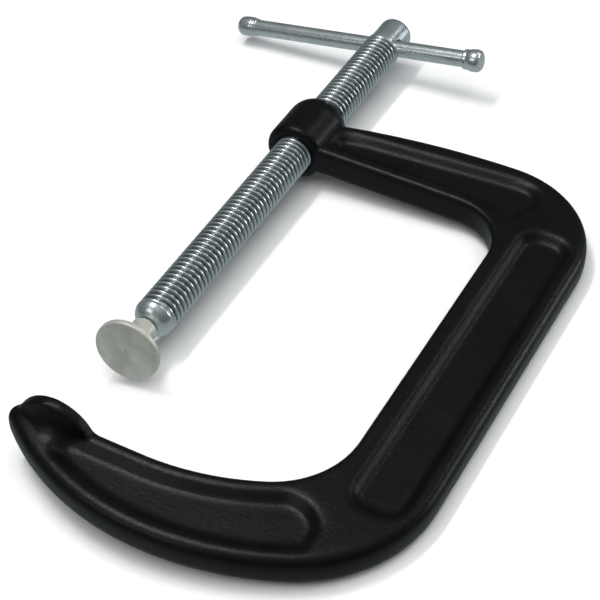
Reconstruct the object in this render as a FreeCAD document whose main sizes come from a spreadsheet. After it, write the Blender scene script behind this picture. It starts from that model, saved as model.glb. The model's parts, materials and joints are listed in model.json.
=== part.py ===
"""C-clamp: a forged frame, a threaded screw with a ball tip, a swivel pad, and a sliding tommy bar.

Frame of the part: the origin is the centre of the anvil face, +Y runs along the screw from the
anvil to the handle, +X runs from the screw to the spine, and +Z is square to the frame's plane.
All lengths are millimetres and all angles degrees.
"""
import FreeCAD, Part
import math
import os
import re
import Sketcher

V = FreeCAD.Vector

DRIVING_SIZES = {
    # forged frame
    "throat": 104.5,
    "spine_width": 37.8,
    "frame_thickness": 14.0,
    "upper_arm": 184.3,
    "upper_arm_sag": 0.9,
    "crown_top": 217.1,
    "crown_radius": 48.0,
    "brow_radius": 350.0,
    "throat_top_radius": 24.0,
    "throat_low_radius": 36.0,
    "throat_sweep_radius": 109.0,
    "throat_sweep_start": 37.0,
    "anvil_rise": 0.2,
    "heel_radius": 59.0,
    "belly_radius": 132.0,
    "belly_reach": 52.0,
    "belly_drop": 32.9,
    "toe_radius": 112.0,
    "toe_reach": 19.9,
    "toe_nose_radius": 6.0,
    "toe_under_radius": 6.3,
    "outer_round": 4.5,
    "inner_round": 2.0,
    # threaded boss and anvil of the frame
    "boss_dia": 27.8,
    "boss_shoulder": 203.8,
    "boss_top": 214.8,
    "boss_dome_radius": 12.2,
    "boss_rim_round": 2.4,
    "boss_top_land": 0.3,
    "bore_chamfer": 0.8,
    "bore_clearance": 0.08,
    "anvil_dia": 34.4,
    "anvil_edge_round": 1.5,
    "anvil_disc": 5.4,
    "anvil_root": 13.0,
    "anvil_root_radius": 13.0,
    # side pockets of the frame
    "pocket_depth": 3.5,
    "pocket_taper": 50.0,
    "spine_pocket_left": 112.0,
    "spine_pocket_right": 136.5,
    "spine_pocket_bottom": 13.8,
    "spine_pocket_top": 182.3,
    "spine_pocket_corner": 10.0,
    "arm_flange": 4.5,
    "crown_flange": 7.5,
    "arm_pocket_start": 14.0,
    "arm_pocket_outer": 203.0,
    "arm_pocket_turn_radius": 28.0,
    "arm_pocket_elbow_x": 112.5,
    "arm_pocket_elbow_y": 196.0,
    "arm_pocket_end_x": 101.0,
    "arm_pocket_tip_x": 104.0,
    "arm_pocket_tip_y": 176.5,
    "arm_pocket_elbow_radius": 11.5,
    "toe_flange": 4.8,
    "outer_flange": 6.0,
    "toe_pocket_reach": -5.0,
    "toe_pocket_peak_x": 92.0,
    "toe_pocket_sweep_radius": 117.0,
    "toe_pocket_hook_x": 112.0,
    "toe_pocket_hook_y": -1.0,
    "toe_pocket_hook_radius": 17.0,
    "toe_pocket_end_x": 112.0,
    # screw
    "screw_dia": 17.5,
    "pitch": 2.75,
    "thread_depth": 1.1,
    "crest_width": 0.95,
    "root_width": 1.1,
    "groove_overrun": 0.55,
    "groove_widening": 0.12,
    "ball_dia": 7.2,
    "neck_dia": 4.5,
    "tip_height": 6.4,
    "tip_dia": 9.6,
    "tip_round_height": 11.2,
    "tip_round_radius": 7.0,
    "thread_end": 218.3,
    "bar_height": 220.6,
    "head_dia": 16.2,
    "head_end": 234.3,
    "head_round": 1.8,
    "bar_hole_dia": 8.7,
    # swivel pad and its retaining ring
    "pad_dia": 28.0,
    "pad_face_drop": 11.2,
    "pad_rim": 2.6,
    "pad_rim_chamfer": 0.5,
    "pad_shoulder": 1.6,
    "pad_flare_radius": 9.0,
    "pad_flare_top": -0.8,
    "collar_dia": 11.2,
    "collar_end": 4.9,
    "collar_lip_radius": 3.05,
    "collar_lip_flare": 0.3,
    "collar_lip_end": 3.9,
    "cavity_angle": 25.0,
    "socket_gap": 0.05,
    "ring_cavity_radius": 4.62,
    "ring_wire_dia": 0.9,
    "ring_mean_radius": 2.87,
    "ring_height": 2.93,
    "ring_gap_angle": 35.0,
    # tommy bar
    "bar_dia": 7.9,
    "bar_long_side": 81.3,
    "bar_short_side": 51.5,
    "long_knob_dia": 9.6,
    "long_knob_length": 10.3,
    "short_knob_dia": 10.8,
    "short_knob_length": 8.9,
    "long_knob_collar": 1.3,
    "long_knob_step": 0.35,
    "long_knob_cap": 3.2,
    "short_knob_neck_dia": 9.6,
    "short_knob_swell": 9.0,
    "short_knob_rim": 1.0,
    "short_knob_cap": 1.4,
    "knob_wall": 1.4,
    # rest pose
    "rest_opening": 44.25,
    "pad_tilt": 8.0,
    "handle_angle": 10.0,
}

# The swivel pad leans on its ball so that its face points a little towards the spine and +Z.
PAD_TILT_AXIS = V(-math.cos(math.radians(38)), 0, math.sin(math.radians(38)))

MATH_WORDS = {"sqrt", "sin", "cos", "tan", "asin", "acos", "abs"}


def make_sheet(doc):
    """Write the driving sizes into a spreadsheet, one alias for each."""
    sheet = doc.addObject("Spreadsheet::Sheet", "Sizes")
    for row, (alias, value) in enumerate(DRIVING_SIZES.items(), start=1):
        sheet.set(f"A{row}", alias)
        sheet.set(f"B{row}", str(value))
        sheet.setAlias(f"B{row}", alias)
    doc.recompute()
    return sheet


def cells(text):
    """Turn an expression in bare aliases into one that reads the sheet's cells."""
    def name(found):
        word = found.group(0)
        return word if word in MATH_WORDS else f"Sizes.{word}"
    return re.sub(r"[a-z][a-z_]*", name, text)


def new_body(doc, label):
    body = doc.addObject("PartDesign::Body", label)
    body.Label = label
    return body


def origin_feature(body, role):
    return next(f for f in body.Origin.OriginFeatures if f.Role == role)


def new_sketch(body, name, plane, lift=None):
    """A sketch on one of the body's own origin planes, lifted along its normal."""
    sketch = body.newObject("Sketcher::SketchObject", name)
    sketch.AttachmentSupport = [(origin_feature(body, plane), "")]
    sketch.MapMode = "FlatFace"
    if lift:
        sketch.setExpression("AttachmentOffset.Base.z", cells(lift))
    return sketch


def arc_between(start, end, radius):
    """The shorter arc from start to end; a positive radius turns left on the way."""
    chord = end - start
    half = chord.Length / 2
    left = V(-chord.y, chord.x, 0).normalize()
    rise = math.sqrt(max(radius * radius - half * half, 0.0))
    centre = (start + end) / 2 + left * math.copysign(rise, radius)
    first, last = (start, end) if radius > 0 else (end, start)
    angles = [math.atan2(p.y - centre.y, p.x - centre.x) for p in (first, last)]
    if angles[1] < angles[0]:
        angles[1] += 2 * math.pi
    return Part.ArcOfCircle(Part.Circle(centre, V(0, 0, 1), abs(radius)), *angles)


def trace(sketch, stations):
    """Draw a closed outline whose stations are (x, y) or (x, y, radius of the arc to the next).

    Each value is an expression in sheet aliases. Every station is held by two bound
    dimensions and every arc by a bound radius, so the outline is fully constrained.
    """
    points = [V(sketch.evalExpression(cells(s[0])), sketch.evalExpression(cells(s[1])), 0)
              for s in stations]
    ends = []
    for index, station in enumerate(stations):
        start, end = points[index], points[(index + 1) % len(points)]
        if len(station) == 3:
            radius = float(sketch.evalExpression(cells(station[2])))
            geo = sketch.addGeometry(arc_between(start, end, radius))
            ends.append((geo, 1, 2) if radius > 0 else (geo, 2, 1))
        else:
            geo = sketch.addGeometry(Part.LineSegment(start, end))
            ends.append((geo, 1, 2))
    for index, station in enumerate(stations):
        geo, first, last = ends[index]
        after = ends[(index + 1) % len(ends)]
        sketch.addConstraint(Sketcher.Constraint("Coincident", geo, last, after[0], after[1]))
        hold(sketch, "DistanceX", (geo, first), points[index].x, station[0])
        hold(sketch, "DistanceY", (geo, first), points[index].y, station[1])
        if len(station) == 3:
            size = abs(float(sketch.evalExpression(cells(station[2]))))
            ref = sketch.addConstraint(Sketcher.Constraint("Radius", geo, size))
            sketch.setExpression(f"Constraints[{ref}]", f"abs({cells(station[2])})")


def hold(sketch, kind, point, value, expression):
    ref = sketch.addConstraint(Sketcher.Constraint(kind, -1, 1, point[0], point[1], value))
    sketch.setExpression(f"Constraints[{ref}]", cells(expression))


def revolve(body, name, sketch, axis="Y_Axis", cut=False):
    kind = "PartDesign::Groove" if cut else "PartDesign::Revolution"
    feature = body.newObject(kind, name)
    feature.Profile = sketch
    feature.ReferenceAxis = (origin_feature(body, axis), [""])
    feature.Angle = 360
    body.Document.recompute()
    return feature


def fillet_edges(body, name, base, radius, wanted):
    """Fillet the edges of base that wanted() picks, with a radius bound to the sheet."""
    edges = [f"Edge{i}" for i, e in enumerate(base.Shape.Edges, start=1) if wanted(e)]
    if not edges:
        raise RuntimeError(f"{name}: no edge to fillet")
    feature = body.newObject("PartDesign::Fillet", name)
    feature.Base = (base, edges)
    feature.setExpression("Radius", cells(radius))
    body.Document.recompute()
    return feature


def edge_middle(edge):
    return edge.valueAt((edge.FirstParameter + edge.LastParameter) / 2)


def frame_outline(sketch):
    """The C's outline at mid thickness, from the toe up the throat side and back outside."""
    spine = "(throat + spine_width)"
    heel_x = f"({spine} - heel_radius)"
    step = "(belly_radius - heel_radius)"
    belly_y = "(belly_radius - belly_drop)"
    heel_fall = f"sqrt({step} * {step} - ({heel_x} - belly_reach) * ({heel_x} - belly_reach))"
    heel_y = f"({belly_y} - {heel_fall})"
    low_x = "(throat - throat_low_radius)"
    sweep_step = "(throat_sweep_radius - throat_low_radius)"
    sweep_run = f"({low_x} - throat_sweep_start)"
    sweep_fall = f"sqrt({sweep_step} * {sweep_step} - {sweep_run} * {sweep_run})"
    sweep_y = "(throat_sweep_radius - anvil_rise)"
    ratio = f"throat_sweep_radius / {sweep_step}"
    crown_x = f"({spine} - crown_radius)"
    brow_fall = f"(brow_radius - sqrt(brow_radius * brow_radius - {crown_x} * {crown_x}))"
    toe_run = "(belly_reach + toe_reach)"
    trace(sketch, [
        ("-toe_reach + toe_nose_radius", "-anvil_rise"),
        ("throat_sweep_start", "-anvil_rise", "throat_sweep_radius"),
        (f"throat_sweep_start + {sweep_run} * {ratio}", f"{sweep_y} - {sweep_fall} * {ratio}",
         "throat_low_radius"),
        ("throat", f"{sweep_y} - {sweep_fall}"),
        ("throat", "upper_arm - upper_arm_sag - throat_top_radius", "throat_top_radius"),
        ("throat - throat_top_radius", "upper_arm - upper_arm_sag"),
        ("0 * throat", "upper_arm"),
        ("0 * throat", f"crown_top - {brow_fall}", "-brow_radius"),
        (crown_x, "crown_top", "-crown_radius"),
        (spine, "crown_top - crown_radius"),
        (spine, heel_y, "-heel_radius"),
        (f"{heel_x} + ({heel_x} - belly_reach) * heel_radius / {step}",
         f"{heel_y} - {heel_fall} * heel_radius / {step}", "-belly_radius"),
        ("belly_reach", "-belly_drop", "-toe_radius"),
        ("-toe_reach",
         f"toe_radius - belly_drop - sqrt(toe_radius * toe_radius - {toe_run} * {toe_run})",
         "-toe_under_radius"),
    ])


def is_rim(edge, half_thickness):
    """True for an edge that lies in one of the plate's two side planes."""
    box = edge.BoundBox
    return box.ZLength < 1e-4 and abs(abs(box.ZMin) - half_thickness) < 1e-4


def is_outside(edge, throat, upper_arm, nose_y):
    """True for the plate's outer boundary, from the toe round the heel to the crown."""
    mid = edge_middle(edge)
    return mid.x > throat + 1 or mid.y > upper_arm + 1 or mid.y < nose_y


def build_plate(body, size):
    outline = new_sketch(body, "frame_outline", "XY_Plane")
    frame_outline(outline)
    plate = body.newObject("PartDesign::Pad", "frame_plate")
    plate.Profile = outline
    plate.Midplane = True
    plate.Refine = False
    plate.setExpression("Length", cells("frame_thickness"))
    body.Document.recompute()
    half = size("frame_thickness") / 2
    limits = size("throat"), size("upper_arm"), -size("anvil_rise") - size("toe_nose_radius")
    outer = fillet_edges(body, "outer_round", plate, "outer_round",
                         lambda e: is_rim(e, half) and is_outside(e, *limits))
    return fillet_edges(body, "inner_round", outer, "inner_round",
                        lambda e: is_rim(e, half) and not is_outside(e, *limits))


def spine_pocket_outline(sketch):
    """A long slot with rounded corners."""
    low, high = "spine_pocket_bottom", "spine_pocket_top"
    left, right = "spine_pocket_left", "spine_pocket_right"
    turn = "spine_pocket_corner"
    trace(sketch, [
        (f"{left} + {turn}", low),
        (f"{right} - {turn}", low, turn),
        (right, f"{low} + {turn}"),
        (right, f"{high} - {turn}", turn),
        (f"{right} - {turn}", high),
        (f"{left} + {turn}", high, turn),
        (left, f"{high} - {turn}"),
        (left, f"{low} + {turn}", turn),
    ])


def arm_pocket_outline(sketch):
    """The upper arm's pocket: it widens from the boss and turns down at the throat's corner."""
    inner = "(upper_arm - upper_arm_sag + arm_flange)"
    turn = "arm_pocket_turn_radius"
    trace(sketch, [
        ("arm_pocket_start", "upper_arm + arm_flange"),
        ("throat - throat_top_radius", inner, f"-{turn}"),
        (f"throat - throat_top_radius + {turn} * sqrt(0.5)", f"{inner} - {turn} * (1 - sqrt(0.5))"),
        ("arm_pocket_tip_x", "arm_pocket_tip_y"),
        ("arm_pocket_elbow_x", "arm_pocket_elbow_y", "arm_pocket_elbow_radius"),
        ("arm_pocket_end_x", "crown_top - crown_flange"),
        ("arm_pocket_start", "arm_pocket_outer"),
    ])


def toe_pocket_outline(sketch):
    """The lower arm's pocket, which follows both of its curves and narrows to the toe."""
    top = "(-anvil_rise - toe_flange)"
    sweep = "toe_pocket_sweep_radius"
    run = "(toe_pocket_peak_x - throat_sweep_start)"
    belly = "(belly_radius - outer_flange)"
    reach = "(toe_pocket_end_x - belly_reach)"
    toe = "(toe_radius - outer_flange)"
    nose = "(toe_pocket_reach + belly_reach)"
    trace(sketch, [
        ("-toe_pocket_reach", top),
        ("throat_sweep_start", top, sweep),
        ("toe_pocket_peak_x", f"{top} + {sweep} - sqrt({sweep} * {sweep} - {run} * {run})",
         "-toe_pocket_hook_radius"),
        ("toe_pocket_hook_x", "toe_pocket_hook_y"),
        ("toe_pocket_end_x",
         f"belly_radius - belly_drop - sqrt({belly} * {belly} - {reach} * {reach})", f"-{belly}"),
        ("belly_reach", "-belly_drop + outer_flange", f"-{toe}"),
        ("-toe_pocket_reach",
         f"toe_radius - belly_drop - sqrt({toe} * {toe} - {nose} * {nose})"),
    ])


def cut_pockets(body):
    """Three tapered pockets in the +Z side, mirrored to the -Z side."""
    cuts = []
    for name, draw in (("spine_pocket", spine_pocket_outline), ("arm_pocket", arm_pocket_outline),
                       ("toe_pocket", toe_pocket_outline)):
        sketch = new_sketch(body, name + "_outline", "XY_Plane", "frame_thickness / 2")
        draw(sketch)
        cut = body.newObject("PartDesign::Pocket", name)
        cut.Profile = sketch
        cut.Refine = False
        cut.setExpression("Length", cells("pocket_depth"))
        cut.setExpression("TaperAngle", cells("-pocket_taper"))
        body.Document.recompute()
        cuts.append(cut)
    both = body.newObject("PartDesign::Mirrored", "pockets_both_sides")
    both.Originals = cuts
    both.MirrorPlane = (origin_feature(body, "XY_Plane"), [""])
    both.Refine = False
    body.Tip = both
    body.Document.recompute()
    return both


def build_boss(body):
    """The threaded boss at the end of the upper arm, a turned shape round the screw's axis."""
    sketch = new_sketch(body, "boss_profile", "XY_Plane")
    trace(sketch, [
        ("0 * boss_dia", "upper_arm"),
        ("boss_dia / 2 - boss_rim_round", "upper_arm", "boss_rim_round"),
        ("boss_dia / 2", "upper_arm + boss_rim_round"),
        ("boss_dia / 2", "boss_shoulder", "boss_dome_radius"),
        ("screw_dia / 2 + bore_clearance + boss_top_land", "boss_top"),
        ("0 * boss_dia", "boss_top"),
    ])
    return revolve(body, "boss", sketch)


def bore_boss(body):
    """The boss's bore, which stands for the tapped hole, with a chamfer at each mouth."""
    sketch = new_sketch(body, "bore_profile", "XY_Plane")
    bore = "screw_dia / 2 + bore_clearance"
    trace(sketch, [
        ("0 * boss_dia", "upper_arm - 1"),
        (f"{bore} + bore_chamfer", "upper_arm - 1"),
        (f"{bore} + bore_chamfer", "upper_arm"),
        (bore, "upper_arm + bore_chamfer"),
        (bore, "boss_top + 1"),
        ("0 * boss_dia", "boss_top + 1"),
    ])
    return revolve(body, "bore", sketch, cut=True)


def build_anvil(body):
    """The round anvil that faces the pad, with a root that runs down into the lower arm."""
    sketch = new_sketch(body, "anvil_profile", "XY_Plane")
    trace(sketch, [
        ("0 * anvil_dia", "0 * anvil_dia"),
        ("0 * anvil_dia", "-anvil_root"),
        ("frame_thickness / 2 - 1", "-anvil_root", "-anvil_root_radius"),
        ("anvil_dia / 2", "-anvil_disc"),
        ("anvil_dia / 2", "-anvil_edge_round", "anvil_edge_round"),
        ("anvil_dia / 2 - anvil_edge_round", "0 * anvil_dia"),
    ])
    return revolve(body, "anvil", sketch)


def build_frame(doc, size):
    body = new_body(doc, "frame")
    build_plate(body, size)
    cut_pockets(body)
    build_boss(body)
    build_anvil(body)
    bore_boss(body)
    return body


def set_pose(body, height, axis, angle):
    """Lift a piece along the screw's axis and turn it about its own origin."""
    body.Placement = FreeCAD.Placement(V(0, 0, 0), FreeCAD.Rotation(axis, 1.0))
    body.setExpression("Placement.Base.y", cells(height))
    body.setExpression("Placement.Rotation.Angle", cells(angle))


def build_screw(doc):
    """The screw, from its ball tip up to the head that holds the tommy bar."""
    body = new_body(doc, "screw")
    sketch = new_sketch(body, "screw_profile", "XY_Plane")
    trace(sketch, [
        ("0 * screw_dia", "-ball_dia / 2", "ball_dia / 2"),
        ("neck_dia / 2", "sqrt(ball_dia * ball_dia - neck_dia * neck_dia) / 2"),
        ("neck_dia / 2", "tip_height"),
        ("tip_dia / 2", "tip_height", "tip_round_radius"),
        ("screw_dia / 2", "tip_round_height"),
        ("screw_dia / 2", "thread_end"),
        ("head_dia / 2", "thread_end"),
        ("head_dia / 2", "head_end - head_round", "head_round"),
        ("head_dia / 2 - head_round", "head_end"),
        ("0 * screw_dia", "head_end"),
    ])
    revolve(body, "screw_blank", sketch)
    bar_hole = new_sketch(body, "bar_hole_outline", "YZ_Plane")
    circle(bar_hole, "bar_height", "0 * bar_height", "bar_hole_dia / 2")
    hole = body.newObject("PartDesign::Pocket", "bar_hole")
    hole.Profile = bar_hole
    hole.Type = "ThroughAll"
    hole.Midplane = True
    doc.recompute()
    cut_thread(body)
    set_pose(body, "rest_opening + pad_face_drop", V(0, -1, 0), "handle_angle")
    return body


def cut_thread(body):
    """Cut the right-hand thread's groove from the tip's shoulder to the head."""
    sketch = new_sketch(body, "thread_groove", "XY_Plane")
    start = "tip_height + pitch"
    outside = "screw_dia / 2 + groove_overrun"
    wide = "(pitch - crest_width) / 2 + groove_widening"
    trace(sketch, [
        ("screw_dia / 2 - thread_depth", f"{start} - root_width / 2"),
        (outside, f"{start} - {wide}"),
        (outside, f"{start} + {wide}"),
        ("screw_dia / 2 - thread_depth", f"{start} + root_width / 2"),
    ])
    thread = body.newObject("PartDesign::SubtractiveHelix", "thread")
    thread.Profile = sketch
    thread.ReferenceAxis = (origin_feature(body, "Y_Axis"), [""])
    thread.Mode = 0
    thread.setExpression("Pitch", cells("pitch"))
    thread.setExpression("Height", cells("thread_end - tip_height - pitch"))
    body.Document.recompute()
    return thread


def circle(sketch, x, y, radius):
    """Draw a circle whose centre and radius are expressions in sheet aliases."""
    centre = V(sketch.evalExpression(cells(x)), sketch.evalExpression(cells(y)), 0)
    size = float(sketch.evalExpression(cells(radius)))
    geo = sketch.addGeometry(Part.Circle(centre, V(0, 0, 1), size))
    hold(sketch, "DistanceX", (geo, 3), centre.x, x)
    hold(sketch, "DistanceY", (geo, 3), centre.y, y)
    ref = sketch.addConstraint(Sketcher.Constraint("Radius", geo, size))
    sketch.setExpression(f"Constraints[{ref}]", cells(radius))


def build_pad(doc):
    """The swivel pad: a turned disc and collar round a spherical socket with a ring cavity."""
    body = new_body(doc, "swivel_pad")
    sketch = new_sketch(body, "pad_profile", "XY_Plane")
    socket = "(ball_dia / 2 + socket_gap)"
    collar = "collar_dia / 2"
    lip_y = "sqrt(ring_cavity_radius * ring_cavity_radius - collar_lip_radius * collar_lip_radius)"
    trace(sketch, [
        ("0 * pad_dia", "-pad_face_drop"),
        ("pad_dia / 2 - pad_rim_chamfer", "-pad_face_drop"),
        ("pad_dia / 2", "-pad_face_drop + pad_rim_chamfer"),
        ("pad_dia / 2", "-pad_face_drop + pad_rim"),
        ("pad_dia / 2 - pad_shoulder", "-pad_face_drop + pad_rim", "-pad_flare_radius"),
        (collar, "pad_flare_top"),
        (collar, "collar_end"),
        ("collar_lip_radius + collar_lip_flare", "collar_end"),
        ("collar_lip_radius", "collar_lip_end"),
        ("collar_lip_radius", lip_y, "-ring_cavity_radius"),
        ("ring_cavity_radius * cos(cavity_angle)", "ring_cavity_radius * sin(cavity_angle)"),
        (f"{socket} * cos(cavity_angle)", f"{socket} * sin(cavity_angle)", f"-{socket}"),
        ("0 * pad_dia", f"-{socket}"),
    ])
    revolve(body, "pad", sketch)
    set_pose(body, "rest_opening + pad_face_drop", PAD_TILT_AXIS, "pad_tilt")
    return body


def build_ring(doc):
    """The open wire ring that keeps the ball in the pad's socket."""
    body = new_body(doc, "pad_retaining_ring")
    sketch = new_sketch(body, "wire_section", "XY_Plane")
    circle(sketch, "ring_mean_radius", "ring_height", "ring_wire_dia / 2")
    wire = body.newObject("PartDesign::Revolution", "ring_wire")
    wire.Profile = sketch
    wire.ReferenceAxis = (origin_feature(body, "Y_Axis"), [""])
    wire.setExpression("Angle", cells("360 - ring_gap_angle"))
    doc.recompute()
    set_pose(body, "rest_opening + pad_face_drop", V(0, -1, 0), "handle_angle")
    return body


def build_bar(doc):
    """The tommy bar, turned about X, whose ends stop at the floors of the knobs' bores."""
    body = new_body(doc, "handle_bar")
    sketch = new_sketch(body, "bar_profile", "XY_Plane")
    trace(sketch, [
        ("-bar_long_side + knob_wall", "0 * bar_dia"),
        ("bar_short_side - knob_wall", "0 * bar_dia"),
        ("bar_short_side - knob_wall", "bar_dia / 2"),
        ("-bar_long_side + knob_wall", "bar_dia / 2"),
    ])
    revolve(body, "bar", sketch, "X_Axis")
    set_bar_pose(body)
    return body


def set_bar_pose(body):
    set_pose(body, "rest_opening + pad_face_drop + bar_height", V(0, -1, 0), "handle_angle")


def build_long_knob(doc):
    """The slim knob on the bar's long side: a collar, a short step and a rounded cap."""
    body = new_body(doc, "handle_knob_long_side")
    sketch = new_sketch(body, "knob_profile", "XY_Plane")
    inner = "(long_knob_length - bar_long_side)"
    trace(sketch, [
        ("-bar_long_side", "0 * bar_dia"),
        ("knob_wall - bar_long_side", "0 * bar_dia"),
        ("knob_wall - bar_long_side", "bar_dia / 2"),
        (inner, "bar_dia / 2"),
        (inner, "long_knob_dia / 2 - long_knob_step"),
        (f"{inner} - long_knob_collar", "long_knob_dia / 2 - long_knob_step"),
        (f"{inner} - long_knob_collar", "long_knob_dia / 2"),
        ("long_knob_cap - bar_long_side", "long_knob_dia / 2", "long_knob_cap"),
        ("-bar_long_side", "long_knob_dia / 2 - long_knob_cap"),
    ])
    revolve(body, "knob", sketch, "X_Axis")
    set_bar_pose(body)
    return body


def build_short_knob(doc):
    """The fuller knob on the bar's short side: a swelling, a rim and a flat end."""
    body = new_body(doc, "handle_knob_short_side")
    sketch = new_sketch(body, "knob_profile", "XY_Plane")
    inner = "(bar_short_side - short_knob_length)"
    trace(sketch, [
        (inner, "bar_dia / 2"),
        ("bar_short_side - knob_wall", "bar_dia / 2"),
        ("bar_short_side - knob_wall", "0 * bar_dia"),
        ("bar_short_side", "0 * bar_dia"),
        ("bar_short_side", "short_knob_dia / 2 - short_knob_cap", "short_knob_cap"),
        ("bar_short_side - short_knob_cap", "short_knob_dia / 2"),
        ("bar_short_side - short_knob_cap - short_knob_rim", "short_knob_dia / 2",
         "short_knob_swell"),
        (inner, "short_knob_neck_dia / 2"),
    ])
    revolve(body, "knob", sketch, "X_Axis")
    set_bar_pose(body)
    return body


def check_document(doc):
    for thing in doc.Objects:
        bad = {"Invalid", "Error"} & set(thing.State)
        if bad:
            raise RuntimeError(f"{thing.Label}: {bad}")


def export(doc, sub_parts):
    os.makedirs("parts", exist_ok=True)
    check_document(doc)
    for part in sub_parts:
        shape = part.Shape
        if shape.isNull() or not shape.isValid():
            raise RuntimeError(f"{part.Label}: bad shape")
        shape.exportStep(f"parts/{part.Label}.step")
        print(f"{part.Label}: {len(shape.Solids)} solid, {shape.Volume:.1f} mm3")


def main():
    doc = FreeCAD.newDocument("CClamp")
    sheet = make_sheet(doc)

    def size(alias):
        return float(sheet.get(alias))

    sub_parts = [build_frame(doc, size), build_screw(doc), build_pad(doc), build_ring(doc),
                 build_bar(doc), build_long_knob(doc), build_short_knob(doc)]
    doc.recompute()
    export(doc, sub_parts)


main()
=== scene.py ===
import json
import math

import bpy
import numpy as np
from mathutils import Matrix, Vector


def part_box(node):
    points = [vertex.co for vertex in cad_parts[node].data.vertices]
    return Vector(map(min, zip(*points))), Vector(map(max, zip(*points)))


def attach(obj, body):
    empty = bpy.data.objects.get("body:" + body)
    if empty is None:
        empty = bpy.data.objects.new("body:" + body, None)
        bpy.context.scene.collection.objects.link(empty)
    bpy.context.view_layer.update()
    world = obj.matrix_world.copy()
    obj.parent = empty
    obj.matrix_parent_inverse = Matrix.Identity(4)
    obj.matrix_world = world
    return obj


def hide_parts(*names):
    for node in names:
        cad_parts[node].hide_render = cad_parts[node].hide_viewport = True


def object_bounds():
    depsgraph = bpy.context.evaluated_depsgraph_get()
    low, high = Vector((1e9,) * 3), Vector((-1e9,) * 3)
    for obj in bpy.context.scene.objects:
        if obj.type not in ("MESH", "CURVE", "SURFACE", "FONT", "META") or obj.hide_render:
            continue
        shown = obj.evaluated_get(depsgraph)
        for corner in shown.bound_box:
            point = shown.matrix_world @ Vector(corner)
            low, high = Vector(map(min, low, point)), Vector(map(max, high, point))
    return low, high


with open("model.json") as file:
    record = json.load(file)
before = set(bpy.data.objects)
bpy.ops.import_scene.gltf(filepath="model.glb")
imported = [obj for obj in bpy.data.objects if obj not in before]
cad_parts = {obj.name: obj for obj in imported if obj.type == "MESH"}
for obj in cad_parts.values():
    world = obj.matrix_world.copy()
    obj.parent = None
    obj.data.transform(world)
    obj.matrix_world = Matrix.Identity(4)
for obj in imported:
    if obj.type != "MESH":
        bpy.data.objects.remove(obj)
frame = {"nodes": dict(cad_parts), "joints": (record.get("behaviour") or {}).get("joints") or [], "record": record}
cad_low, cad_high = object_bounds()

MM = 0.001
nodes = frame["nodes"]

# ---------------------------------------------------------------- sizes, in millimetres
# Heights on the screw and the pad are measured from the ball's centre, and places along the
# tommy bar from the screw's axis. The turned pieces keep the sizes of the CAD nodes they replace.
PITCH = 2.75
THREAD_DEPTH = 1.05
THREAD_ROOT, THREAD_FLANKS = 0.22, 0.62  # shares of the pitch
THREAD_START, THREAD_END = 11.2, 218.3
ROWS_PER_PITCH = 14
BALL_RADIUS, NECK_RADIUS = 3.6, 2.25
TIP_HEIGHT, TIP_RADIUS, TIP_ROUND = 6.4, 4.8, 7.0
SCREW_RADIUS, HEAD_RADIUS = 8.75, 8.1
HEAD_END, HEAD_ROUND, HEAD_FOOT_ROUND, SPIGOT_RADIUS = 234.3, 1.8, 0.35, 7.2
BAR_HEIGHT, BAR_HOLE_RADIUS = 220.6, 4.35
BAR_RADIUS = 3.95
LONG_SIDE, LONG_KNOB, LONG_KNOB_RADIUS = 81.3, 10.3, 4.8
SHORT_SIDE, SHORT_KNOB, SHORT_KNOB_RADIUS = 51.5, 8.9, 5.4
KNOB_WALL = 1.4
SHORT_KNOB_NECK = 4.78
PAD_RADIUS, PAD_DROP, PAD_RIM = 14.0, 11.2, 2.6
FACE_RINGS, FACE_RING_DEPTH, FACE_MARGIN = 42, 0.035, 1.2
COLLAR_RADIUS, COLLAR_END, COLLAR_ROUND = 5.6, 4.9, 0.9
SOCKET_RADIUS, RING_CAVITY_RADIUS, LIP_RADIUS = 3.65, 4.62, 3.05
SOCKET_ANGLE = 25  # degrees up from the ball's equator to the socket's edge

# The frame's regions are within a reach of the screw's axis, at heights along it from the anvil's
# face. A region's weight says how freely it softens, and 1 is the rest of the frame's.
ANVIL_REACH, ANVIL_BOTTOM, ANVIL_TOP, ANVIL_WEIGHT = 17.6, -6.0, 2.0, 0.3
MOUTH_REACH, MOUTH_WEIGHT = 10.8, 0.12
BOSS_REACH, BOSS_WEIGHT = 16.0, 0.35
BOSS_SEARCH_REACH, BOSS_SEARCH_HEIGHT = 12.5, 50.0
ANVIL_ROOT, ANVIL_ROOT_REACH = (5.0, -11.5), 10.0  # a centre in X and Y, and a reach from it
SPINE_LOW = -7.0  # the Z of the lower side of the spine's outer edge
FORGING_VOXEL, FORGING_ROUNDS = 0.6, 40
PULL_IN, PUSH_OUT = 0.62, -0.30

# ---------------------------------------------------------------- camera and floor
# Places are in metres and angles in radians.
CAMERA_AROUND, CAMERA_UP = math.radians(28.338), math.radians(44.444)
CAMERA_PLACE = Vector((0.28276, -0.33363, 0.48733))
SENSOR_MM, LENS_MM = 36.0, 102.3
FLOOR_HALF, FLOOR_GAP = 3.0, 0.0003


# ---------------------------------------------------------------- places read from the frame
def joint(name):
    return next(j for j in frame["joints"] if j["name"] == name)


def mount_axis(name):
    return Vector(next(m for m in frame["record"]["mounts"] if m["name"] == name)["axis"])


def place(origin, x_axis, y_axis):
    """A matrix whose local X and Y run along the given axes."""
    x, y = x_axis.normalized(), y_axis.normalized()
    z = x.cross(y)
    return Matrix(((x.x, y.x, z.x, origin.x), (x.y, y.y, z.y, origin.y),
                   (x.z, y.z, z.z, origin.z), (0, 0, 0, 1)))


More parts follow.
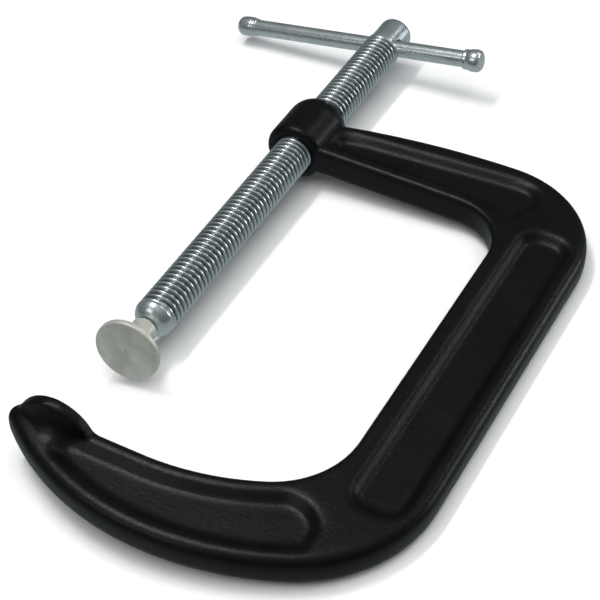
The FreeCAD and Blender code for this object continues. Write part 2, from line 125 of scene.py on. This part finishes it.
ball = Vector(joint("pad_tilt")["pos_m"])
bar_axis = Vector(joint("handle_slide")["axis"])
screw_axis = Vector(joint("screw_turn")["axis"])
screw_place = place(ball, bar_axis, screw_axis)
pad_place = place(ball, Vector(joint("pad_tilt")["axis"]), -mount_axis("pad_face"))
bar_centre = ball + screw_axis * BAR_HEIGHT * MM
bar_place = place(bar_centre, bar_axis.cross(screw_axis), bar_axis)


# ---------------------------------------------------------------- mesh tools
def new_piece(name, verts, faces, matrix=None):
    """A smooth-shaded object from vertices in metres, moved to its place by the matrix."""
    mesh = bpy.data.meshes.new(name)
    mesh.from_pydata([tuple(v) for v in verts], [], [tuple(f) for f in faces])
    mesh.polygons.foreach_set("use_smooth", [True] * len(mesh.polygons))
    if matrix is not None:
        mesh.transform(matrix)
    mesh.update()
    piece = bpy.data.objects.new(name, mesh)
    bpy.context.scene.collection.objects.link(piece)
    return piece


def arc(cx, cy, radius, start, end, steps=8):
    """Points on an arc in a profile; angles in degrees from the radial axis."""
    angles = np.radians(np.linspace(start, end, steps + 1))
    return [(cx + radius * math.cos(a), cy + radius * math.sin(a)) for a in angles]


def arc_to(start, end, radius, steps=10):
    """Points on the shorter arc between two profile points; a positive radius turns left."""
    a, b = np.array(start, float), np.array(end, float)
    chord = b - a
    half = np.hypot(*chord) / 2
    left = np.array([-chord[1], chord[0]]) / (2 * half)
    centre = (a + b) / 2 + left * math.copysign(math.sqrt(radius * radius - half * half), radius)
    first = math.atan2(a[1] - centre[1], a[0] - centre[0])
    last = math.atan2(b[1] - centre[1], b[0] - centre[0])
    turn = (last - first + math.pi) % (2 * math.pi) - math.pi
    return [(centre[0] + abs(radius) * math.cos(first + turn * k / steps),
             centre[1] + abs(radius) * math.sin(first + turn * k / steps))
            for k in range(steps + 1)]


def lathe(profile, around=128, shape=None):
    """Turn a profile of (radius, height) in millimetres about Y; points on the axis close it.

    shape(height, turn) is how much less the radius is at a height and at each turn in radians.
    """
    turn = 2 * np.pi * np.arange(around) / around
    verts, rings, faces = [], [], []
    for radius, height in profile:
        if radius < 1e-6:
            rings.append([len(verts)])
            verts.append((0.0, height * MM, 0.0))
            continue
        rings.append(range(len(verts), len(verts) + around))
        reach = (radius - (shape(height, turn) if shape else 0.0)) * MM * np.ones(around)
        verts += list(zip(reach * np.cos(turn), np.full(around, height * MM),
                          reach * np.sin(turn)))
    for lower, upper in zip(rings, rings[1:]):
        for k in range(around):
            a, b = lower[k % len(lower)], lower[(k + 1) % len(lower)]
            c, d = upper[(k + 1) % len(upper)], upper[k % len(upper)]
            faces.append(list(dict.fromkeys((a, d, c, b))))
    return verts, faces


def edged(piece, degrees=32):
    """Keep edges sharper than the given angle crisp in the smooth shading."""
    piece.data.set_sharp_from_angle(angle=math.radians(degrees))
    return piece


def stands_for(piece, body, slot, *replaced):
    """Ride a piece on its body and hide the CAD nodes it replaces. The slot argument is not used."""
    if replaced:
        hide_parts(*replaced)
    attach(piece, body)
    return piece


# ---------------------------------------------------------------- frame forging
def remeshed(source, voxel):
    """A voxel remesh of an object's mesh, as a vertex array and an array of quads."""
    copy = bpy.data.objects.new("work", source.data.copy())
    bpy.context.scene.collection.objects.link(copy)
    remesh = copy.modifiers.new("remesh", "REMESH")
    remesh.mode = "VOXEL"
    remesh.voxel_size = voxel
    graph = bpy.context.evaluated_depsgraph_get()
    result = copy.evaluated_get(graph).to_mesh()
    verts = np.zeros(len(result.vertices) * 3)
    result.vertices.foreach_get("co", verts)
    faces = np.zeros(len(result.polygons) * 4, int)
    result.polygons.foreach_get("vertices", faces)
    copy.evaluated_get(graph).to_mesh_clear()
    bpy.data.objects.remove(copy)
    return verts.reshape(-1, 3), faces.reshape(-1, 4)


def relax(verts, faces, weight, rounds):
    """Smooth quads towards their neighbours' mean, with a partial step back out each round."""
    a = np.concatenate([faces[:, k] for k in range(4)])
    b = np.concatenate([faces[:, (k + 1) % 4] for k in range(4)])
    count = np.bincount(a, minlength=len(verts)) + np.bincount(b, minlength=len(verts))
    weight = weight[:, None]

    def step(points, amount):
        total = np.empty_like(points)
        for axis in range(3):
            total[:, axis] = (np.bincount(a, points[b, axis], len(points))
                              + np.bincount(b, points[a, axis], len(points)))
        return points + amount * weight * (total / count[:, None] - points)

    for _ in range(rounds):
        verts = step(verts, PULL_IN)
        verts = step(verts, PUSH_OUT)
    return verts


def build_forging():
    """The frame with its edges, pocket walls and roots softened as a hammer forging has them."""
    voxel = FORGING_VOXEL
    rounds = FORGING_ROUNDS
    verts, faces = remeshed(nodes["frame"], voxel * MM)
    reach, height = np.hypot(verts[:, 0], verts[:, 2]), verts[:, 1]
    at_boss = height > boss_face() - MM
    mouth = (reach < MOUTH_REACH * MM) & at_boss
    boss = (reach < BOSS_REACH * MM) & at_boss
    anvil = (reach < ANVIL_REACH * MM) & (height > ANVIL_BOTTOM * MM) & (height < ANVIL_TOP * MM)
    weight = np.select([mouth, boss, anvil], [MOUTH_WEIGHT, BOSS_WEIGHT, ANVIL_WEIGHT], 1.0)
    verts = relax(verts, faces, weight, rounds)
    root_x, root_y = ANVIL_ROOT[0] * MM, ANVIL_ROOT[1] * MM
    from_root = np.hypot(verts[:, 0] - root_x, verts[:, 1] - root_y)
    nearness = np.clip(1 - from_root / (ANVIL_ROOT_REACH * MM), 0, 1)
    verts = relax(verts, faces, nearness, 3 * rounds)
    return stands_for(new_piece("frame_forging", verts, faces), "clamp_frame", "frame_paint",
                      "frame")


def boss_face():
    """The height of the boss's lower face: its lowest point near the axis, above the gap."""
    mesh = nodes["frame"].data
    points = np.zeros(len(mesh.vertices) * 3)
    mesh.vertices.foreach_get("co", points)
    points = points.reshape(-1, 3)
    near = np.hypot(points[:, 0], points[:, 2]) < BOSS_SEARCH_REACH * MM
    near &= points[:, 1] > BOSS_SEARCH_HEIGHT * MM
    return points[near, 1].min()


# ---------------------------------------------------------------- screw
def thread_groove(height, turn):
    """Depth of the right-hand groove below the crest, rounded like a rolled thread."""
    phase = (height / PITCH + turn / (2 * np.pi)) % 1.0
    side = np.abs(2 * phase - 1)
    rise = np.clip((side - THREAD_ROOT) / THREAD_FLANKS, 0, 1)
    groove = 1 - rise * rise * (3 - 2 * rise)
    lead_in = np.clip((height - THREAD_START - 0.5) / PITCH, 0, 1)
    run_out = np.clip((THREAD_END - 0.6 - height) / PITCH, 0, 1)
    return THREAD_DEPTH * groove * lead_in * run_out


def build_rod():
    """Ball, neck, domed tip and thread in one turned piece."""
    seam = math.degrees(math.acos(NECK_RADIUS / BALL_RADIUS))
    tip_edge, thread_edge = (TIP_RADIUS, TIP_HEIGHT), (SCREW_RADIUS, THREAD_START)
    profile = [(0, -BALL_RADIUS)] + arc(0, 0, BALL_RADIUS, -84, seam, 24)
    profile += [(NECK_RADIUS, TIP_HEIGHT - 0.5), (NECK_RADIUS + 0.3, TIP_HEIGHT)]
    profile += [(TIP_RADIUS - 0.4, TIP_HEIGHT)]
    profile += arc_to(tip_edge, thread_edge, TIP_ROUND, 14)
    rows = int((THREAD_END - THREAD_START) / PITCH * ROWS_PER_PITCH)
    profile += [(SCREW_RADIUS, h) for h in np.linspace(THREAD_START, THREAD_END, rows)[1:]]
    profile += [(SCREW_RADIUS - 0.5, THREAD_END + 0.2), (0, THREAD_END + 0.2)]
    verts, faces = lathe(profile, 112, thread_groove)
    rod = new_piece("screw_rod", verts, faces, screw_place)
    spots = np.array(verts) / MM
    depth = (SCREW_RADIUS - np.hypot(spots[:, 0], spots[:, 2])) / THREAD_DEPTH
    threaded = (spots[:, 1] > THREAD_START) & (spots[:, 1] < THREAD_END)
    groove = rod.data.attributes.new("groove", "FLOAT", "POINT")
    groove.data.foreach_set("value", np.where(threaded, np.clip(depth, 0, 1), 0.0))
    return stands_for(rod, "screw", "screw_zinc", "screw")


def build_head():
    """The screw's plain head, with its cross hole drilled and its mouths eased."""
    low, inner = THREAD_END - 0.8, HEAD_RADIUS - HEAD_FOOT_ROUND
    profile = [(0, low), (SPIGOT_RADIUS, low), (SPIGOT_RADIUS, THREAD_END + 0.1)]
    profile += [(inner, THREAD_END + 0.2)]
    profile += arc(inner, THREAD_END + 0.55, HEAD_FOOT_ROUND, -90, 0, 4)
    profile += [(HEAD_RADIUS, h) for h in np.linspace(THREAD_END + 1, HEAD_END - HEAD_ROUND, 12)]
    profile += arc(HEAD_RADIUS - HEAD_ROUND, HEAD_END - HEAD_ROUND, HEAD_ROUND, 0, 90, 8)[1:]
    profile += [(HEAD_RADIUS * 0.5, HEAD_END), (0, HEAD_END)]
    head = new_piece("screw_head", *lathe(profile, 128), screw_place)
    drill = [(0, -HEAD_RADIUS - 2), (BAR_HOLE_RADIUS + 1.85, -HEAD_RADIUS - 2)]
    drill += [(BAR_HOLE_RADIUS + 0.75, -HEAD_RADIUS - 0.1)]
    drill += [(BAR_HOLE_RADIUS + 0.25, -HEAD_RADIUS + 0.6), (BAR_HOLE_RADIUS, -HEAD_RADIUS + 1.3)]
    drill += [(r, -h) for r, h in reversed(drill)]
    cutter = new_piece("cutter", *lathe(drill, 64), bar_place)
    cut = head.modifiers.new("cross_hole", "BOOLEAN")
    cut.operation, cut.object, cut.solver = "DIFFERENCE", cutter, "EXACT"
    graph = bpy.context.evaluated_depsgraph_get()
    drilled = bpy.data.meshes.new_from_object(head.evaluated_get(graph))
    head.modifiers.clear()
    head.data = drilled
    bpy.data.objects.remove(cutter)
    return stands_for(edged(head, 40), "screw", "screw_zinc")


# ---------------------------------------------------------------- pad
def build_pad():
    """The swivel pad, with fine turning rings on its face and a rolled lip on its collar."""
    face, rim = -PAD_DROP, -PAD_DROP + PAD_RIM
    shoulder = PAD_RADIUS - 1.6
    profile = [(0, face + 0.5), (0.5, face + 0.45), (1.0, face + 0.04)]
    for k in range(4, FACE_RINGS):
        radius = k * (PAD_RADIUS - FACE_MARGIN) / FACE_RINGS
        profile.append((radius, face + (FACE_RING_DEPTH if k % 2 else 0.0)))
    profile += [(PAD_RADIUS - 0.8, face)]
    profile += arc(PAD_RADIUS - 0.7, face + 0.7, 0.7, -90, 0, 6)
    profile += [(PAD_RADIUS - 0.03, face + 1.2), (PAD_RADIUS, rim - 0.6)]
    profile += arc(PAD_RADIUS - 0.5, rim - 0.5, 0.5, 0, 90, 5)
    profile += [(shoulder + 0.1, rim + 0.02)]
    profile += arc_to((shoulder, rim), (COLLAR_RADIUS, -0.8), -9.0, 16)[1:]
    profile += [(COLLAR_RADIUS, 0.6), (COLLAR_RADIUS - 0.12, 0.75), (COLLAR_RADIUS - 0.12, 1.0)]
    round_centre = (COLLAR_RADIUS - COLLAR_ROUND, COLLAR_END - COLLAR_ROUND)
    profile += [(COLLAR_RADIUS, 1.15), (COLLAR_RADIUS, round_centre[1])]
    profile += arc(*round_centre, COLLAR_ROUND, 0, 90, 6)
    lip_angle = math.degrees(math.acos(LIP_RADIUS / RING_CAVITY_RADIUS))
    profile += [(LIP_RADIUS + 0.3, COLLAR_END), (LIP_RADIUS, COLLAR_END - 1.0)]
    profile += arc(0, 0, RING_CAVITY_RADIUS, lip_angle, SOCKET_ANGLE, 6)
    profile += arc(0, 0, SOCKET_RADIUS, SOCKET_ANGLE, -85, 14) + [(0, -SOCKET_RADIUS)]
    piece = new_piece("swivel_pad_turned", *lathe(profile, 144), pad_place)
    return stands_for(edged(piece, 35), "pad", "pad_steel", "swivel_pad")


# ---------------------------------------------------------------- tommy bar
def build_bar():
    """The drawn bar, whose ends stop at the floors of the knobs' bores."""
    low, high = -LONG_SIDE + KNOB_WALL, SHORT_SIDE - KNOB_WALL
    profile = [(0, low), (BAR_RADIUS - 0.3, low), (BAR_RADIUS, low + 0.3)]
    profile += [(BAR_RADIUS, h) for h in np.linspace(low + 1, high - 1, 60)]
    profile += [(BAR_RADIUS, high - 0.3), (BAR_RADIUS - 0.3, high), (0, high)]
    piece = new_piece("tommy_bar", *lathe(profile, 96), bar_place)
    return stands_for(edged(piece), "handle", "bar_zinc", "handle_bar")


def knob(name, node_name, profile, end, side):
    """A turned cap from its inner mouth to its outer end, bored for the bar."""
    bore = [(0, end - KNOB_WALL), (BAR_RADIUS, end - KNOB_WALL), (BAR_RADIUS, profile[0][1])]
    points = [(r, side * h) for r, h in bore + profile]
    if side < 0:
        points.reverse()
    verts, faces = lathe(points, 112)
    piece = new_piece(name, verts, faces, bar_place)
    return stands_for(edged(piece, 40), "handle", "knob_zinc", node_name)


def build_long_knob():
    """A collar at the mouth, then a nearly straight barrel with a domed end."""
    inner, radius = LONG_SIDE - LONG_KNOB, LONG_KNOB_RADIUS
    step, barrel = (radius - 0.36, inner + 1.42), (radius - 0.03, inner + 2.2)
    dome, crown = (radius - 0.1, LONG_SIDE - 3.3), (radius - 3.1, LONG_SIDE - 0.12)
    profile = [(BAR_RADIUS + 0.1, inner)] + arc(radius - 0.65, inner + 0.3, 0.3, -90, 0, 4)
    profile += [(radius - 0.35, inner + 1.0), (radius - 0.42, inner + 1.3)]
    profile += arc_to(step, barrel, -1.4, 5)
    profile += arc_to(barrel, dome, 26.0, 6)[1:]
    profile += arc_to(dome, crown, 3.3, 9)[1:]
    profile += [(0.8, LONG_SIDE - 0.02), (0, LONG_SIDE)]
    return knob("knob_long_side", "handle_knob_long_side", profile, LONG_SIDE, -1)


def build_short_knob():
    """A narrower neck at the mouth that swells to a rounded, slightly crowned end."""
    inner, radius, neck = SHORT_SIDE - SHORT_KNOB, SHORT_KNOB_RADIUS, SHORT_KNOB_NECK
    swell, widest = (neck - 0.05, inner + 2.15), (radius - 0.05, inner + 5.2)
    corner, crown = (radius - 0.2, SHORT_SIDE - 1.9), (radius - 1.7, SHORT_SIDE - 0.35)
    profile = [(BAR_RADIUS + 0.15, inner)] + arc(neck - 0.35, inner + 0.35, 0.35, -90, 0, 4)
    profile += [(neck, inner + 1.6), (neck - 0.12, inner + 1.95)]
    profile += arc_to(swell, widest, 6.5, 8)
    profile += arc_to(widest, corner, 7.0, 5)[1:]
    profile += arc_to(corner, crown, 1.9, 7)[1:]
    profile += arc_to(crown, (0.6, SHORT_SIDE), 24.0, 6)[1:]
    profile += [(0, SHORT_SIDE)]
    return knob("knob_short_side", "handle_knob_short_side", profile, SHORT_SIDE, 1)


# ---------------------------------------------------------------- materials
# The marks' noise scale along the model's X, Y and Z: rings across the screw, which lies along Y,
# and streaks along X on the bar, which lies 10 degrees from it.
MARKS_ROUND_SCREW = (140.0, 3200.0, 140.0)
MARKS_ALONG_BAR = (70.0, 2600.0, 2600.0)
MARKS_EVEN = (900.0, 900.0, 900.0)


def material(name):
    made = bpy.data.materials.new(name)
    made.use_nodes = True
    return made, made.node_tree, made.node_tree.nodes["Principled BSDF"]


def add_node(tree, kind, **values):
    made = tree.nodes.new(kind)
    for key, value in values.items():
        made.inputs[key].default_value = value
    return made


def noise(tree, coordinate, scale, detail=4.0, roughness=0.55):
    made = add_node(tree, "ShaderNodeTexNoise", Scale=scale, Detail=detail, Roughness=roughness)
    tree.links.new(coordinate, made.inputs["Vector"])
    return made.outputs["Fac"]


def stretched(tree, coordinate, turn, scale):
    """Coordinates scaled along X, Y and Z and then turned about Y, which moves the pattern.

    Marks are drawn out along the axes whose scale is small.
    """
    made = add_node(tree, "ShaderNodeMapping", Rotation=(0, turn, 0), Scale=scale)
    tree.links.new(coordinate, made.inputs["Vector"])
    return made.outputs["Vector"]


def ramp(tree, value, *stops):
    """A colour ramp driven by a value; each stop is (position, colour), lowest first."""
    made = tree.nodes.new("ShaderNodeValToRGB")
    tree.links.new(value, made.inputs["Fac"])
    elements = made.color_ramp.elements
    elements[0].position, elements[0].color = stops[0]
    elements[1].position, elements[1].color = stops[-1]
    for position, color in stops[1:-1]:
        elements.new(position).color = color
    return made.outputs["Color"]


def grey(level):
    return (level, level, level, 1.0)


def bump(tree, height, strength, distance, before=None):
    made = add_node(tree, "ShaderNodeBump", Strength=strength, Distance=distance)
    tree.links.new(height, made.inputs["Height"])
    if before is not None:
        tree.links.new(before, made.inputs["Normal"])
    return made.outputs["Normal"]


def paint():
    """Satin black paint over a forged skin: waviness, orange peel and grain."""
    made, tree, shader = material("frame_paint")
    coordinate = tree.nodes.new("ShaderNodeTexCoord").outputs["Object"]
    broad = noise(tree, coordinate, 38.0, 5.0, 0.6)
    peel = noise(tree, coordinate, 620.0, 3.0, 0.6)
    grain = noise(tree, coordinate, 1900.0, 2.0, 0.6)
    dark, light = (0.0016, 0.0017, 0.0020, 1), (0.0034, 0.0036, 0.0040, 1)
    tree.links.new(ramp(tree, broad, (0.3, dark), (0.7, light)), shader.inputs["Base Color"])
    rough = ramp(tree, peel, (0.3, grey(0.30)), (0.7, grey(0.41)))
    tree.links.new(rough, shader.inputs["Roughness"])
    normal = bump(tree, broad, strength=0.30, distance=0.0007)
    normal = bump(tree, peel, strength=0.5, distance=0.00016, before=normal)
    normal = bump(tree, grain, strength=0.9, distance=0.00008, before=normal)
    tree.links.new(normal, shader.inputs["Normal"])
    shader.inputs["Specular IOR Level"].default_value = 0.22
    return made


def root_shade_and_dirt(tree, tone):
    """Darken a tone by the groove attribute, most in the thread's roots: painted shade in the hollows, together
    with the oil and dirt they hold.
    """
    depth = tree.nodes.new("ShaderNodeAttribute")
    depth.attribute_name = "groove"
    mix = tree.nodes.new("ShaderNodeMix")
    mix.data_type, mix.blend_type = "RGBA", "MULTIPLY"
    mix.inputs["Factor"].default_value = 1.0
    shade = ramp(tree, depth.outputs["Fac"], (0.15, grey(1.0)), (0.85, grey(0.22)))
    tree.links.new(tone, mix.inputs["A"])
    tree.links.new(shade, mix.inputs["B"])
    return mix.outputs["Result"]


def metal(name, low, high, rough, marks, turn=0.0, metallic=1.0):
    """Plated steel: cloudy plate between two tones, fine grain, and marks that vary its
    roughness between two levels."""
    made, tree, shader = material(name)
    shader.inputs["Metallic"].default_value = metallic
    coordinate = tree.nodes.new("ShaderNodeTexCoord").outputs["Object"]
    cloud = noise(tree, coordinate, 130.0, 6.0, 0.6)
    tone = ramp(tree, cloud, (0.3, (*low, 1)), (0.7, (*high, 1)))
    # the thread's roots are darkened: painted shade, together with their oil and dirt
    tree.links.new(root_shade_and_dirt(tree, tone), shader.inputs["Base Color"])
    lines = noise(tree, stretched(tree, coordinate, turn, marks), 1.0, 3.0, 0.6)
    grain = noise(tree, coordinate, 1500.0, 3.0, 0.6)
    tree.links.new(ramp(tree, lines, (0.3, grey(rough[0])), (0.7, grey(rough[1]))),
                   shader.inputs["Roughness"])
    normal = bump(tree, lines, strength=0.04, distance=0.00004)
    normal = bump(tree, grain, strength=0.03, distance=0.00002, before=normal)
    tree.links.new(normal, shader.inputs["Normal"])
    return made


def give(piece, made):
    piece.data.materials.clear()
    piece.data.materials.append(made)


# ---------------------------------------------------------------- stage
def add_camera():
    """The main view: 28 degrees round from the front and 44 degrees up."""
    data = bpy.data.cameras.new("camera")
    data.sensor_width, data.lens = SENSOR_MM, LENS_MM
    data.clip_start, data.clip_end = 0.01, 20.0
    camera = bpy.data.objects.new("camera", data)
    bpy.context.scene.collection.objects.link(camera)
    right = Vector((math.cos(CAMERA_AROUND), math.sin(CAMERA_AROUND), 0))
    forward = Vector((-math.sin(CAMERA_AROUND) * math.cos(CAMERA_UP),
                      math.cos(CAMERA_AROUND) * math.cos(CAMERA_UP), -math.sin(CAMERA_UP)))
    turned = Matrix((right, right.cross(forward), -forward)).transposed().to_4x4()
    camera.matrix_world = Matrix.Translation(CAMERA_PLACE) @ turned
    bpy.context.scene.camera = camera


def add_light(name, direction, reach, size, power, color=(1, 1, 1), reflected=True):
    """A soft box that faces the object's middle; it can light without showing in reflections."""
    data = bpy.data.lights.new(name, "AREA")
    data.shape = "RECTANGLE"
    data.size, data.size_y = size
    data.energy = power
    data.color = color
    light = bpy.data.objects.new(name, data)
    bpy.context.scene.collection.objects.link(light)
    light.visible_glossy = reflected
    away = Vector(direction).normalized()
    light.location = (cad_low + cad_high) / 2 + away * reach
    light.rotation_mode = "QUATERNION"
    light.rotation_quaternion = (-away).to_track_quat("-Z", "Y")


def add_floor():
    """A white plane just under the anvil's rim and the spine's outer edge, unseen in reflections."""
    anvil_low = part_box("frame")[0].z
    slope = (SPINE_LOW * MM - anvil_low) / cad_high.x
    level = anvil_low - FLOOR_GAP
    corners = [(x * FLOOR_HALF, y * FLOOR_HALF, slope * x * FLOOR_HALF + level)
               for x, y in ((-1, -1), (1, -1), (1, 1), (-1, 1))]
    floor = new_piece("floor", corners, [(0, 1, 2, 3)])
    made, tree, shader = material("floor_white")
    coordinate = tree.nodes.new("ShaderNodeTexCoord").outputs["Object"]
    tone = noise(tree, coordinate, 3.0)
    tree.links.new(ramp(tree, tone, (0.3, grey(0.9)), (0.7, grey(0.93))),
                   shader.inputs["Base Color"])
    shader.inputs["Roughness"].default_value = 0.9
    shader.inputs["Specular IOR Level"].default_value = 0.1
    floor.visible_glossy = False
    give(floor, made)


def add_world():
    """A dim room, darkest round eye level and lightest straight up and straight down."""
    world = bpy.data.worlds.new("studio")
    bpy.context.scene.world = world
    world.use_nodes = True
    tree = world.node_tree
    height = tree.nodes.new("ShaderNodeSeparateXYZ")
    tree.links.new(tree.nodes.new("ShaderNodeTexCoord").outputs["Generated"],
                   height.inputs["Vector"])
    upward = add_node(tree, "ShaderNodeMapRange", **{"From Min": -1.0})
    tree.links.new(height.outputs["Z"], upward.inputs["Value"])
    light = ramp(tree, upward.outputs["Result"], (0.0, (0.32, 0.35, 0.36, 1)),
                 (0.34, (0.28, 0.31, 0.32, 1)), (0.46, (0.05, 0.055, 0.06, 1)),
                 (0.60, (0.07, 0.075, 0.08, 1)), (0.84, (0.10, 0.11, 0.12, 1)),
                 (1.0, (0.34, 0.37, 0.38, 1)))
    tree.links.new(light, tree.nodes["Background"].inputs["Color"])


bpy.context.scene.view_settings.view_transform = "Standard"
add_camera()
add_floor()
add_world()
add_light("wash", direction=(0.10, -0.25, 1.0), reach=1.7, size=(1.8, 1.8), power=25.0,
          reflected=False)
add_light("key", direction=(-0.34, -0.67, 0.60), reach=1.3, size=(0.6, 0.4), power=1.2,
          color=(1.0, 0.98, 0.96))
add_light("top", direction=(-0.34, 0.00, 0.94), reach=1.4, size=(0.6, 0.10), power=7.5)
add_light("back", direction=(0.34, 0.63, 0.70), reach=1.4, size=(0.10, 0.5), power=1.3)
add_light("back_right", direction=(0.74, 0.62, 0.20), reach=1.3, size=(0.4, 0.4), power=3.0,
          color=(0.95, 0.98, 1.0))

plate = metal("screw_plate", low=(0.60, 0.68, 0.69), high=(0.78, 0.86, 0.86), rough=(0.20, 0.34),
              marks=MARKS_ROUND_SCREW, metallic=0.9)
dull = metal("pad_plate", low=(0.44, 0.45, 0.40), high=(0.66, 0.67, 0.61), rough=(0.36, 0.52),
             marks=MARKS_EVEN, metallic=0.45)
bright = metal("bar_plate", low=(0.64, 0.71, 0.71), high=(0.82, 0.88, 0.87), rough=(0.18, 0.30),
               marks=MARKS_ALONG_BAR, turn=math.atan2(bar_axis.z, bar_axis.x), metallic=0.9)

give(build_forging(), paint())
for piece in (build_rod(), build_head()):
    give(piece, plate)
for piece in (build_pad(), nodes["pad_retaining_ring"]):
    give(piece, dull)
for piece in (build_bar(), build_long_knob(), build_short_knob()):
    give(piece, bright)
